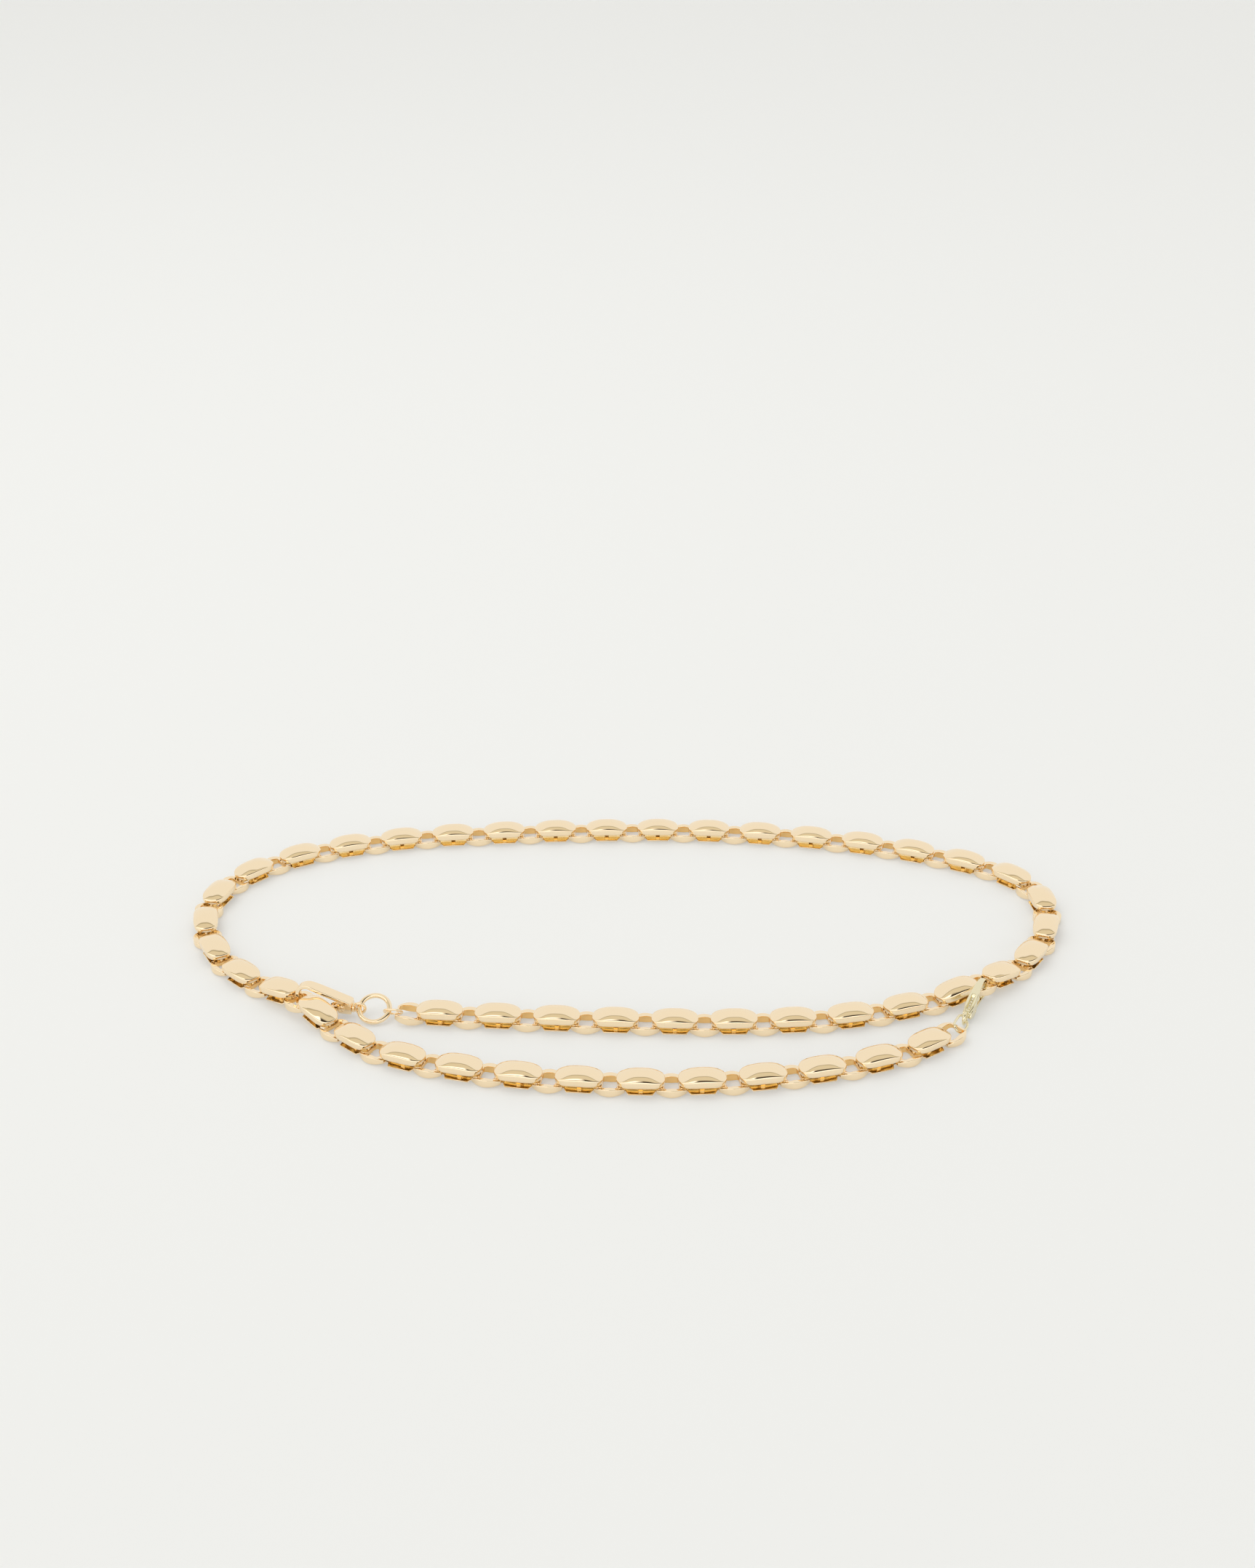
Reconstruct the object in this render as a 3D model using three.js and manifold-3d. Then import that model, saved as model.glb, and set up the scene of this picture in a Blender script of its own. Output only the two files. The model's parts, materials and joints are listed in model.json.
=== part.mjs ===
import * as THREE from 'three';
import { mergeVertices } from 'three/addons/utils/BufferGeometryUtils.js';
import Module from 'manifold-3d';

// A chain belt of domed oval links joined by flat ring connectors. It lies on a table in a closed
// loop with a second row in front: a snap hook on a round ring closes the loop part-way along the
// chain, and a small lobster clasp holds the free tail. Millimetres, +Z up, table at Z = 0.

const wasm = await Module();
wasm.setup();

// Driving dimensions.
const LINK_COUNT = 47;
const OVAL_PIVOTS = 13.2; // between the two end uprights of one oval link
const RING_PIVOTS = 6.8; // between the two uprights that one connector joins

const OVAL_LENGTH = 15.5;
const OVAL_WIDTH = 8.4;
const SKIRT_Z = 3.1; // underside of the domed plate
const APEX_Z = 7.0; // top of the dome at mid length
const DOME_END_Z = 4.6; // top of the dome at its two ends
const BASE_THICK = 0.45; // flat plate under the dome
const BASE_HALF_WIDTH = 3.8;
const POST_RADIUS = 0.95;
const UPRIGHT_RADIUS = 0.55;

const RING_HALF_LENGTH = 5.25;
const RING_HALF_WIDTH = 5.05;
const RING_HOLE_X = 4.25;
const RING_HOLE_Y = 3.25;
const RING_TOP = 2.75; // crest of the side bars at mid length
const RING_END_LOW = 0.9; // the thin end bars run between these two heights
const RING_END_HIGH = 2.4;
const PIVOT_Z = (RING_END_LOW + RING_END_HIGH) / 2;

const HOOK_LINK = 35; // the snap hook holds the connector after this oval
const CLASP_LINK = 10; // the lobster clasp holds the connector after this oval
const CLASPED_LIFT = 2.2; // the two held connectors ride on the jaws that pass under them
const NEXT_LIFT = 0.15; // far pivots of the ovals that slope down from them
const END_LIFT = 0.9; // outer pivots of the two end connectors, held up by the jump rings

// Route of the chain on the table, from the ring end to the tail end.
const ROUTE = [
  [-77, -42.5], [-44, -45.5], [-4, -48], [36, -49], [75, -45.5], [112, -33], [130, -22], [148, 1],
  [154, 29], [146, 48], [112, 67], [73, 78], [33, 83.5], [-8, 84], [-48, 82], [-88, 77], [-126, 64],
  [-146, 47], [-154, 26], [-150, 3], [-136, -18.5], [-116, -34], [-102, -48], [-84, -64.5],
  [-53, -76], [-13, -82.5], [27, -83], [62, -77], [86, -69.5], [101, -61.5], [110, -53.5], [117, -46],
];

// Ring end. The round ring lies tilted, its far side raised.
const JUMP_WIRE = 0.4;
const BAR_OUT = (RING_HALF_LENGTH + RING_HOLE_X) / 2; // end bar of a connector, from its middle
const BAR_TO_RING = 2.35; // end bar to the wire of the round ring
const BIG_RING_RADIUS = 5.4;
const BIG_RING_WIRE = 0.75;
const BIG_RING_TILT = Math.PI / 6;
const BOW_AXIS_Z = BIG_RING_RADIUS * Math.sin(BIG_RING_TILT) + BIG_RING_WIRE;
const BOW_RADIUS = 1.9;
const BOW_WIRE = 0.4;
const BOW_SLACK = 0.45; // the ring wire sits this far from the middle of the bow's eye
const SWIVEL_RADIUS = 0.65; // shaft of the bow, which turns in the hook's block
const SWIVEL_HEAD_RADIUS = 1.05;
const HOLE_CLEAR = 0.3; // radial room of shafts and pins in their holes

// Snap hook, measured along its axis from the middle of the bow's eye.
const HOOK_WIDTH = 4.5;
const HOOK_NOSE_WIDTH = 3;
const BLOCK_START = 2.6;
const BLOCK_END = 7.2;
const BLOCK_LOW = 1.9;
const BLOCK_HIGH = 6.2;
const STRAP_THICK = 1.4;
const CHANNEL_START = 3.6; // the block is hollow from here, for the gate's root
const CHANNEL_WIDTH = 3.1;
const GATE_PIVOT = [5.9, 3.9];
const GATE_WIDTH = 3.4;
const RIVET_RADIUS = 0.55;
const RIVET_HEAD_RADIUS = 1.15;
const NOSE_MIDDLE = 21.6;
const NOSE_CURVE = 4.3; // outer radius of the turned-down nose
const NOSE_CURVE_Z = 7.1;
const NOSE_SPOT = [0.6, 0.9]; // where the nose goes down in its connector's hole

// Lobster clasp, measured along its axis from the middle of its eye.
const CLASP_WIDTH = 3.4;
const CLASP_EYE_Z = 2.6;
const CLASP_SPOT = [0.3, -1.4]; // where the tip goes down in its connector's hole
const JUMP_B_REACH = 6.3; // end bar to the middle of the clasp's eye
const JUMP_B_TURN = THREE.MathUtils.degToRad(19);
const LEVER_PIVOT = [6.3, 2.3];
const LEVER_WIDTH = 1.4;
const PIN_RADIUS = 0.4;

const GOLD = { color: 0xe9c98a, roughness: 0.16, metalness: 1 };
const PALE_GOLD = { color: 0xd9cf9a, roughness: 0.2, metalness: 1 };
const STEEL = { color: 0xb9b6ae, roughness: 0.3, metalness: 1 };

const model = new THREE.Group();

function addMesh(name, geometry, finish, parent = model) {
  const mesh = new THREE.Mesh(geometry, new THREE.MeshStandardMaterial(finish));
  mesh.name = name;
  parent.add(mesh);
  return mesh;
}

// ---- joining and cutting ----

function toSolid(geometry) {
  const bare = geometry.clone();
  bare.deleteAttribute('normal');
  bare.deleteAttribute('uv');
  const merged = mergeVertices(bare, 1e-4);
  const corners = merged.index.array;
  const triVerts = [];
  for (let i = 0; i < corners.length; i += 3) {
    const [a, b, c] = [corners[i], corners[i + 1], corners[i + 2]];
    if (a !== b && b !== c && c !== a) triVerts.push(a, b, c);
  }
  const mesh = new wasm.Mesh({
    numProp: 3,
    vertProperties: new Float32Array(merged.attributes.position.array),
    triVerts: new Uint32Array(triVerts),
  });
  return new wasm.Manifold(mesh);
}

function toGeometry(solid) {
  const mesh = solid.getMesh();
  const geometry = new THREE.BufferGeometry();
  geometry.setAttribute('position', new THREE.BufferAttribute(mesh.vertProperties, 3));
  geometry.setIndex(new THREE.BufferAttribute(mesh.triVerts, 1));
  geometry.computeVertexNormals();
  return geometry;
}

const join = (first, ...rest) => rest.reduce((sum, geometry) => sum.add(toSolid(geometry)), toSolid(first));
const cut = (solid, ...tools) => tools.reduce((left, geometry) => left.subtract(toSolid(geometry)), solid);

// ---- plain shapes ----

function outline(points) {
  return new THREE.Shape(points.map(([x, y]) => new THREE.Vector2(x, y)));
}

// A slab of the outline from height low to height high.
function slab(shape, low, high) {
  const geometry = new THREE.ExtrudeGeometry(shape, { depth: high - low, bevelEnabled: false });
  return geometry.translate(0, 0, low);
}

// A side profile in X and Z, given thickness along Y.
function sideProfile(points, thickness) {
  const geometry = new THREE.ExtrudeGeometry(outline(points), { depth: thickness, bevelEnabled: false });
  return geometry.rotateX(Math.PI / 2).translate(0, thickness / 2, 0);
}

function uprightRod(x, radius, low, high, sides) {
  const rod = new THREE.CylinderGeometry(radius, radius, high - low, sides);
  return rod.rotateX(Math.PI / 2).translate(x, 0, (low + high) / 2);
}

function crossRod(x, z, radius, length, sides) {
  return new THREE.CylinderGeometry(radius, radius, length, sides).translate(x, 0, z);
}

function lengthwiseRod(fromX, toX, z, radius, sides) {
  const rod = new THREE.CylinderGeometry(radius, radius, toX - fromX, sides);
  return rod.rotateZ(Math.PI / 2).translate((fromX + toX) / 2, 0, z);
}

function box(sizeX, sizeY, sizeZ, x, y, z) {
  return new THREE.BoxGeometry(sizeX, sizeY, sizeZ).translate(x, y, z);
}

// A ring of round wire about the Y axis. Halfway round on each side it is stretched along X.
function wireRing(radius, wire, around, section, stretch = 0) {
  const profile = [];
  for (let i = 0; i <= section; i += 1) {
    const turn = (2 * Math.PI * i) / section;
    profile.push(new THREE.Vector2(radius + wire * Math.cos(turn), wire * Math.sin(turn)));
  }
  const geometry = new THREE.LatheGeometry(profile, around);
  const place = geometry.attributes.position;
  for (let i = 0; i < place.count; i += 1) {
    const x = place.getX(i);
    if (Math.abs(x) > 0.01) place.setX(i, x + Math.sign(x) * stretch);
  }
  return geometry;
}

// ---- one oval link, with its incoming upright on the Z axis ----

const OVAL_MIDDLE = OVAL_PIVOTS / 2;

function domedPlate() {
  const halfLength = OVAL_LENGTH / 2;
  const halfWidth = OVAL_WIDTH / 2;
  const profile = [[0, 0], [1, 0], [0.9, 0.7], [0, 1]];
  const geometry = new THREE.LatheGeometry(profile.map(([r, h]) => new THREE.Vector2(r, h)), 10);
  geometry.rotateX(Math.PI / 2);
  const place = geometry.attributes.position;
  const barrel = (value, power) => Math.sign(value) * Math.abs(value) ** power;
  for (let i = 0; i < place.count; i += 1) {
    const radius = Math.hypot(place.getX(i), place.getY(i));
    const cos = radius > 0 ? place.getX(i) / radius : 0;
    const sin = radius > 0 ? place.getY(i) / radius : 0;
    const x = radius * halfLength * barrel(cos, 0.55);
    const y = radius * halfWidth * barrel(sin, 0.75);
    const top = APEX_Z - (APEX_Z - DOME_END_Z) * (x / halfLength) ** 2;
    place.setXYZ(i, x + OVAL_MIDDLE, y, SKIRT_Z + place.getZ(i) * (top - SKIRT_Z));
  }
  return geometry;
}

function basePlate() {
  const half = [[7.2, 1.9], [4.2, BASE_HALF_WIDTH], [-4.2, BASE_HALF_WIDTH], [-7.2, 1.9]];
  const whole = [...half, ...half.toReversed().map(([x, y]) => [x, -y])];
  return slab(outline(whole.map(([x, y]) => [x + OVAL_MIDDLE, y])), 0, BASE_THICK);
}

function ovalSolid() {
  const low = BASE_THICK / 2;
  const high = SKIRT_Z + 0.4;
  return join(
    domedPlate(),
    basePlate(),
    uprightRod(OVAL_MIDDLE, POST_RADIUS, low, high, 6),
    uprightRod(0, UPRIGHT_RADIUS, low, high, 4),
    uprightRod(OVAL_PIVOTS, UPRIGHT_RADIUS, low, high, 4),
  ).translate(0, 0, -PIVOT_Z);
}

// ---- one connector: a flat ring with lens-shaped side bars and thin end bars ----

function connectorRing() {
  const quarter = [[RING_HALF_LENGTH, 3], [3, 4.65]];
  const mirrored = quarter.toReversed().map(([x, y]) => [-x, y]);
  const half = [...quarter, [0, RING_HALF_WIDTH], ...mirrored];
  const shape = outline([...half, ...half.toReversed().map(([x, y]) => [x, -y])]);
  const hole = [[1, 1], [0, 1], [-1, 1], [-1, -1], [0, -1], [1, -1]];
  const holePoints = hole.map(([x, y]) => new THREE.Vector2(x * RING_HOLE_X, y * RING_HOLE_Y));
  shape.holes.push(new THREE.Path(holePoints));
  const geometry = slab(shape, 0, 1);
  const place = geometry.attributes.position;
  for (let i = 0; i < place.count; i += 1) {
    const along = Math.min(1, Math.abs(place.getX(i)) / RING_HOLE_X);
    const low = RING_END_LOW * along;
    const high = RING_TOP - (RING_TOP - RING_END_HIGH) * along ** 2;
    place.setZ(i, low + place.getZ(i) * (high - low) - PIVOT_Z);
  }
  return geometry;
}

// The short hidden web that holds a connector to its own oval.
function connectorWeb() {
  const inner = RING_PIVOTS / 2 - 0.2;
  const outer = RING_HOLE_X + 0.5;
  return box(outer - inner, 0.8, 1.2, -(inner + outer) / 2, 0, 0);
}

// ---- walking the route ----

function pivotLift(index) {
  const held = [HOOK_LINK, CLASP_LINK].map((link) => 2 * link);
  if (held.some((first) => index === first || index === first + 1)) return CLASPED_LIFT;
  if (held.some((first) => index === first - 1 || index === first + 2)) return NEXT_LIFT;
  return index === 0 || index === 2 * LINK_COUNT + 1 ? END_LIFT : 0;
}

// Pivot 0 is the outer end of the first connector; ovals run from odd pivots to even ones.
function walkPivots() {
  const points = ROUTE.map(([x, y]) => new THREE.Vector3(x, y, 0));
  const curve = new THREE.CatmullRomCurve3(points, false, 'centripetal');
  const trail = curve.getSpacedPoints(12000);
  const pivots = [trail[0].clone()];
  let next = 1;
  for (let index = 1; index <= 2 * LINK_COUNT + 1; index += 1) {
    const reach = index % 2 === 1 ? RING_PIVOTS : OVAL_PIVOTS;
    const rise = pivotLift(index) - pivotLift(index - 1);
    const step = Math.sqrt(reach ** 2 - rise ** 2);
    const from = pivots[index - 1];
    while (trail[next].distanceTo(from) < step) next += 1;
    const before = trail[next - 1].distanceTo(from);
    const after = trail[next].distanceTo(from);
    pivots.push(trail[next - 1].clone().lerp(trail[next], (step - before) / (after - before)));
  }
  pivots.forEach((pivot, index) => pivot.setZ(PIVOT_Z + pivotLift(index)));
  return pivots;
}

// A frame at start, with X toward end and Z as near upright as that allows.
function frameAlong(start, end) {
  const along = end.clone().sub(start).normalize();
  const across = new THREE.Vector3(0, 0, 1).cross(along).normalize();
  const frame = new THREE.Matrix4().makeBasis(along, across, along.clone().cross(across));
  return frame.setPosition(start);
}

function placeIn(object, frame) {
  frame.decompose(object.position, object.quaternion, object.scale);
}

const pivots = walkPivots();

function connectorFrame(link) {
  const start = pivots[2 * link];
  const end = pivots[2 * link + 1];
  return frameAlong(start, end).setPosition(start.clone().add(end).divideScalar(2));
}

// ---- chain ----

function buildChain() {
  const oval = ovalSolid();
  const ring = join(connectorRing(), connectorWeb());
  for (let link = 1; link <= LINK_COUNT; link += 1) {
    const frame = frameAlong(pivots[2 * link - 1], pivots[2 * link]);
    const local = frame.clone().invert().multiply(connectorFrame(link));
    const placed = toSolid(toGeometry(ring).applyMatrix4(local));
    const name = `link_${String(link).padStart(2, '0')}`;
    placeIn(addMesh(name, toGeometry(oval.add(placed)), GOLD), frame);
  }
  placeIn(addMesh('end_connector', connectorRing(), GOLD), connectorFrame(0));
}

buildChain();

// ---- ring end: jump ring, round ring and the swivel bow of the hook ----

// A level frame at a point, with X toward another point.
function levelFrame(from, toward) {
  return frameAlong(from, toward.clone().setZ(from.z));
}

function pointIn(frame, x, y, z) {
  return new THREE.Vector3(x, y, z).applyMatrix4(frame);
}

function roundRing() {
  const ring = wireRing(BIG_RING_RADIUS, BIG_RING_WIRE, 20, 8);
  return ring.translate(BIG_RING_RADIUS, 0, 0).rotateX(Math.PI / 2 - BIG_RING_TILT);
}

function swivelBow() {
  const eye = wireRing(BOW_RADIUS, BOW_WIRE, 12, 6);
  const stem = lengthwiseRod(BOW_RADIUS, CHANNEL_START + 0.6, 0, SWIVEL_RADIUS, 8);
  const head = lengthwiseRod(CHANNEL_START + 0.4, CHANNEL_START + 0.9, 0, SWIVEL_HEAD_RADIUS, 8);
  return toGeometry(join(eye, stem, head));
}

// ---- snap hook, with X from the bow's eye to the nose and Z = 0 at the table ----

// Points of an arc in the side view, from one angle to another.
function arc(x, z, radius, from, to, steps) {
  return Array.from({ length: steps + 1 }, (_, i) => {
    const angle = THREE.MathUtils.degToRad(from + ((to - from) * i) / steps);
    return [x + radius * Math.cos(angle), z + radius * Math.sin(angle)];
  });
}

// Narrows a side profile toward the nose, from full width at one X to a smaller width at another.
function narrow(geometry, fromX, toX, ratio) {
  const place = geometry.attributes.position;
  for (let i = 0; i < place.count; i += 1) {
    const along = THREE.MathUtils.clamp((place.getX(i) - fromX) / (toX - fromX), 0, 1);
    place.setY(i, place.getY(i) * (1 + (ratio - 1) * along));
  }
  return geometry;
}

function hookBody() {
  const curveX = NOSE_MIDDLE + STRAP_THICK / 2 - NOSE_CURVE;
  const outer = arc(curveX, NOSE_CURVE_Z, NOSE_CURVE, 108, 0, 5);
  const inner = arc(curveX, NOSE_CURVE_Z, NOSE_CURVE - STRAP_THICK, 108, 0, 4);
  const noseEnd = 0.35;
  const profile = [
    [BLOCK_START, BLOCK_LOW], [BLOCK_END, BLOCK_LOW], [BLOCK_END, 5.6], ...inner,
    [NOSE_MIDDLE - STRAP_THICK / 2, noseEnd], [NOSE_MIDDLE + STRAP_THICK / 2, noseEnd],
    ...outer.toReversed(), [BLOCK_START, BLOCK_HIGH],
  ];
  const strap = sideProfile(profile, HOOK_WIDTH);
  const body = narrow(strap, 15, NOSE_MIDDLE - 1, HOOK_NOSE_WIDTH / HOOK_WIDTH);
  const channel = box(6, CHANNEL_WIDTH, 5, CHANNEL_START + 3, 0, 3);
  const bore = lengthwiseRod(1, CHANNEL_START + 1, BOW_AXIS_Z, SWIVEL_RADIUS + HOLE_CLEAR, 8);
  const rivetHole = crossRod(...GATE_PIVOT, RIVET_RADIUS + HOLE_CLEAR, 6, 8);
  return toGeometry(cut(toSolid(body), channel, bore, rivetHole));
}

function hookGate() {
  const tip = NOSE_MIDDLE - 1.1;
  const root = [...arc(...GATE_PIVOT, 1, 60, 270, 6), [8.2, 2.2], [8.2, 4.4]];
  const bar = [[7.6, 4.4], [7.6, 2.3], [11.5, 0.4], [tip, 0.3], [tip, 1.15], [12.2, 1.2], [10.8, 3]];
  const slot = box(3.2, 0.7, 1.6, 9.8, 0, 4);
  const hole = crossRod(...GATE_PIVOT, RIVET_RADIUS + HOLE_CLEAR, 6, 8);
  const wide = narrow(sideProfile(bar, GATE_WIDTH), 8, tip, 2.8 / GATE_WIDTH);
  return toGeometry(cut(join(sideProfile(root, 2.4), wide), slot, hole));
}

function gateRivet() {
  const shaft = crossRod(...GATE_PIVOT, RIVET_RADIUS, HOOK_WIDTH + 1, 8);
  const head = (side) => crossRod(...GATE_PIVOT, RIVET_HEAD_RADIUS, 0.3, 10).translate(0, side * 2.55, 0);
  return toGeometry(join(shaft, head(1), head(-1)));
}

function gateSpring() {
  return sideProfile([[4.9, 5.15], [6.5, 5.15], [6.5, 5.3], [4.9, 5.3]], 1.6);
}

// ---- lobster clasp, with X from its eye to its tip and Z = 0 at the table ----

function claspBody() {
  const outer = [
    [1.4, 4.4], [4.5, 5.9], [9, 7.7], [14, 8.8], [18, 8.6], [19.8, 7.4], [20.4, 5.4], [20.2, 1.4],
    [19.3, 0.3], [17.1, 0.3],
  ];
  const inner = [
    [17.1, 1.3], [18.6, 1.6], [18.9, 5.1], [18, 6.9], [14, 7.4], [9.6, 6.3], [7.6, 4.9], [7.4, 2.1],
    [6, 0.9], [1.4, 1.2],
  ];
  const body = narrow(sideProfile([...outer, ...inner], CLASP_WIDTH), 9, 17, 2.2 / CLASP_WIDTH);
  const eye = crossRod(0, CLASP_EYE_Z, 2.4, 1, 12);
  const neck = sideProfile([[0, 1.4], [2, 1.2], [2, 4.4], [0, 4.2]], 1);
  const channel = box(7.6, 2, 12, 7.4, 0, 4);
  const eyeHole = crossRod(0, CLASP_EYE_Z, 1.6, 3, 10);
  const pinHole = crossRod(...LEVER_PIVOT, PIN_RADIUS + HOLE_CLEAR, 6, 8);
  return toGeometry(cut(join(body, eye, neck), channel, eyeHole, pinHole));
}

function claspLever() {
  const root = arc(...LEVER_PIVOT, 1.1, 80, 240, 5);
  const profile = [...root, [9, 0.4], [16.7, 0.35], [16.7, 1.2], [10, 1.6], [8, 3]];
  const hole = crossRod(...LEVER_PIVOT, PIN_RADIUS + HOLE_CLEAR, 6, 8);
  return toGeometry(cut(toSolid(sideProfile(profile, LEVER_WIDTH)), hole));
}

function claspPin() {
  return crossRod(...LEVER_PIVOT, PIN_RADIUS, CLASP_WIDTH + 0.4, 8);
}

function claspSpring() {
  return lengthwiseRod(4, 7.4, 4.6, 0.6, 8);
}

// ---- placing the two ends ----

function addIn(frame, name, geometry, finish) {
  placeIn(addMesh(name, geometry, finish), frame);
}

function shifted(frame, x, y, z) {
  return frame.clone().multiply(new THREE.Matrix4().makeTranslation(x, y, z));
}

function endBar(link, side) {
  return pointIn(connectorFrame(link), side * BAR_OUT, 0, 0);
}

function buildRingEnd() {
  const bar = endBar(0, -1);
  const out = levelFrame(bar.clone().setZ(0), pointIn(connectorFrame(0), -20, 0, 0));
  const radius = 2.5;
  const jump = wireRing(radius, JUMP_WIRE, 12, 6, 0.6);
  addIn(shifted(out, 1.35, 0, radius + JUMP_WIRE + 0.05), 'jump_ring_a', jump, GOLD);
  addIn(shifted(out, BAR_TO_RING, 0, BOW_AXIS_Z), 'big_ring', roundRing(), GOLD);
  const eye = pointIn(out, BAR_TO_RING + 2 * BIG_RING_RADIUS - BOW_SLACK, 0, 0);
  const hook = levelFrame(eye, pointIn(connectorFrame(HOOK_LINK), NOSE_SPOT[0], NOSE_SPOT[1], 0));
  addIn(shifted(hook, 0, 0, BOW_AXIS_Z), 'swivel_bow', swivelBow(), GOLD);
  addIn(hook, 'hook_body', hookBody(), GOLD);
  addIn(hook, 'hook_gate', hookGate(), GOLD);
  addIn(hook, 'gate_rivet', gateRivet(), GOLD);
  addIn(hook, 'gate_spring', gateSpring(), STEEL);
}

function buildTailEnd() {
  const bar = endBar(LINK_COUNT, 1);
  const turn = new THREE.Matrix4().makeRotationZ(JUMP_B_TURN);
  const straight = levelFrame(bar.clone().setZ(0), pointIn(connectorFrame(LINK_COUNT), 20, 0, 0));
  const out = straight.multiply(turn);
  const radius = 2.3;
  const inside = 2; // the loop's near end, inward of the end bar
  const jump = wireRing(radius, JUMP_WIRE, 12, 6, (JUMP_B_REACH + inside) / 2 - radius);
  const jumpFrame = shifted(out, (JUMP_B_REACH - inside) / 2, 0, CLASP_EYE_Z + 0.1);
  addIn(jumpFrame, 'jump_ring_b', jump.rotateX(-Math.PI / 4), PALE_GOLD);
  const eye = pointIn(out, JUMP_B_REACH, 0, 0);
  const clasp = levelFrame(eye, pointIn(connectorFrame(CLASP_LINK), CLASP_SPOT[0], CLASP_SPOT[1], 0));
  addIn(clasp, 'lobster_body', claspBody(), PALE_GOLD);
  addIn(clasp, 'lobster_lever', claspLever(), PALE_GOLD);
  addIn(clasp, 'lobster_pin', claspPin(), PALE_GOLD);
  addIn(clasp, 'lobster_spring', claspSpring(), STEEL);
}

buildRingEnd();
buildTailEnd();

const bounds = new THREE.Box3().setFromObject(model, true);
const middle = bounds.getCenter(new THREE.Vector3());
model.position.set(-middle.x, -middle.y, -bounds.min.z);
model.updateMatrixWorld(true);

export default model;
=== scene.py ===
import json
import math

import bmesh
import bpy
import numpy as np
from mathutils import Matrix, Vector


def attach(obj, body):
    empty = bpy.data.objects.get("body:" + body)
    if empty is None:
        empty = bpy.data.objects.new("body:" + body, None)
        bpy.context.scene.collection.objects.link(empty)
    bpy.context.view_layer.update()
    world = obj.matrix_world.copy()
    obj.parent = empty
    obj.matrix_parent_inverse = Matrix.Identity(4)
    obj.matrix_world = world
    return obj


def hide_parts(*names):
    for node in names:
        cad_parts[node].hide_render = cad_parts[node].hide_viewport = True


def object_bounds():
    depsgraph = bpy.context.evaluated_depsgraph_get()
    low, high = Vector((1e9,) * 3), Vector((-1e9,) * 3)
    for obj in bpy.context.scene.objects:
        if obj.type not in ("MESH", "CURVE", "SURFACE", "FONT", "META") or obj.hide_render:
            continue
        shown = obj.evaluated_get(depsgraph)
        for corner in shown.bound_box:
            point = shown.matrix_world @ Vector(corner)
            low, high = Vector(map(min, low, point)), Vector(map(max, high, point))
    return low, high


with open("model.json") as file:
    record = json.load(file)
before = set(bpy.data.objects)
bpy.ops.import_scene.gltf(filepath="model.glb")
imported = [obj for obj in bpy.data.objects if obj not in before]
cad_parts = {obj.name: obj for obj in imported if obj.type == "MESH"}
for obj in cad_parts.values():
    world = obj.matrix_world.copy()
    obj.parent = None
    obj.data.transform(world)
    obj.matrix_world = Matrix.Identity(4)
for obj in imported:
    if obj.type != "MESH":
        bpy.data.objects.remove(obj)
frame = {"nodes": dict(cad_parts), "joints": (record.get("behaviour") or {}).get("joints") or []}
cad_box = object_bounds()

# A chain belt of domed oval links and ring connectors, with a snap hook and a lobster clasp.
# Shapes are drawn in millimetres in each piece's own frame, and placed from the CAD joints.

MM = 0.001
HALVINGS = 40

# ---- driving sizes ----

LINK_COUNT = 47
OVAL_PIVOTS = 13.2
RING_PIVOTS = 6.8
PIVOT_Z = 1.65
HELD_LINKS = (10, 35)
HELD_LIFT = 2.2
NEXT_LIFT = 0.15
END_LIFT = 0.9

HALF_LENGTH = 7.95
HALF_WIDTH = 4.45
OUTLINE_POINTS = 72
OUTLINE_END_POWER = 3.6
OUTLINE_SIDE_POWER = 2.6
SKIRT_Z = 3.1
APEX_Z = 7.25
CREST_Z = 5.55
CREST_END_Z = 4.65
CREST_ROUNDING = 0.42
CREST_DEPTH = CREST_ROUNDING * 0.8
CROWN_POWER = 2.2
SKIRT_LIP = 0.08
HOLLOW_DROP = 0.1
HOLLOW_SHARE = 0.74
BASE_THICK = 0.45
BASE_EDGE = 0.12
BASE_CORNER = (3.95, 3.45)
BASE_WAIST = (4.9, 1.3)
BASE_END = (7.2, 1.3)
POST_WIDTH = 1.5
POST_DEPTH = 0.9
POST_CORNER = 0.15
POST_LOW = 0.2
POST_HIGH = APEX_Z - 1.2
UPRIGHT_RADIUS = 0.55
UPRIGHT_EDGE = 0.08
UPRIGHT_LOW = 0.25
UPRIGHT_HIGH = SKIRT_Z + 0.75

RING_HALF_LENGTH = 5.0
RING_HALF_WIDTH = 5.15
RING_TIP_HALF_WIDTH = 3.1
RING_HOLE_X = 2.3
RING_FREE_HOLE_X = 4.25
RING_HOLE_Y = 3.25
RING_LOW = 0.25
RING_TOP = 3.05
RING_END_LOW = 0.6
RING_END_HIGH = 2.15
RING_HOLE_POWER = 7

BIG_RING_REACH = 5.4
BIG_RING_RADIUS = 5.15
BIG_RING_WIRE = 0.88
BIG_RING_TILT = math.radians(27)
JUMP_WIRE = 0.4
HEAD_JUMP_LEAN = math.radians(-35)
HEAD_JUMP_RADIUS = 1.9
HEAD_JUMP_STRETCH = 1.2
HEAD_JUMP_PLACE = (1.35, 0, 2.6)
TAIL_JUMP_LEAN = math.radians(-45)
TAIL_JUMP_RADIUS = 2.3
TAIL_JUMP_INSIDE = 2.0
BOW_RADIUS = 1.8
BOW_WIRE = 0.55

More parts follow.
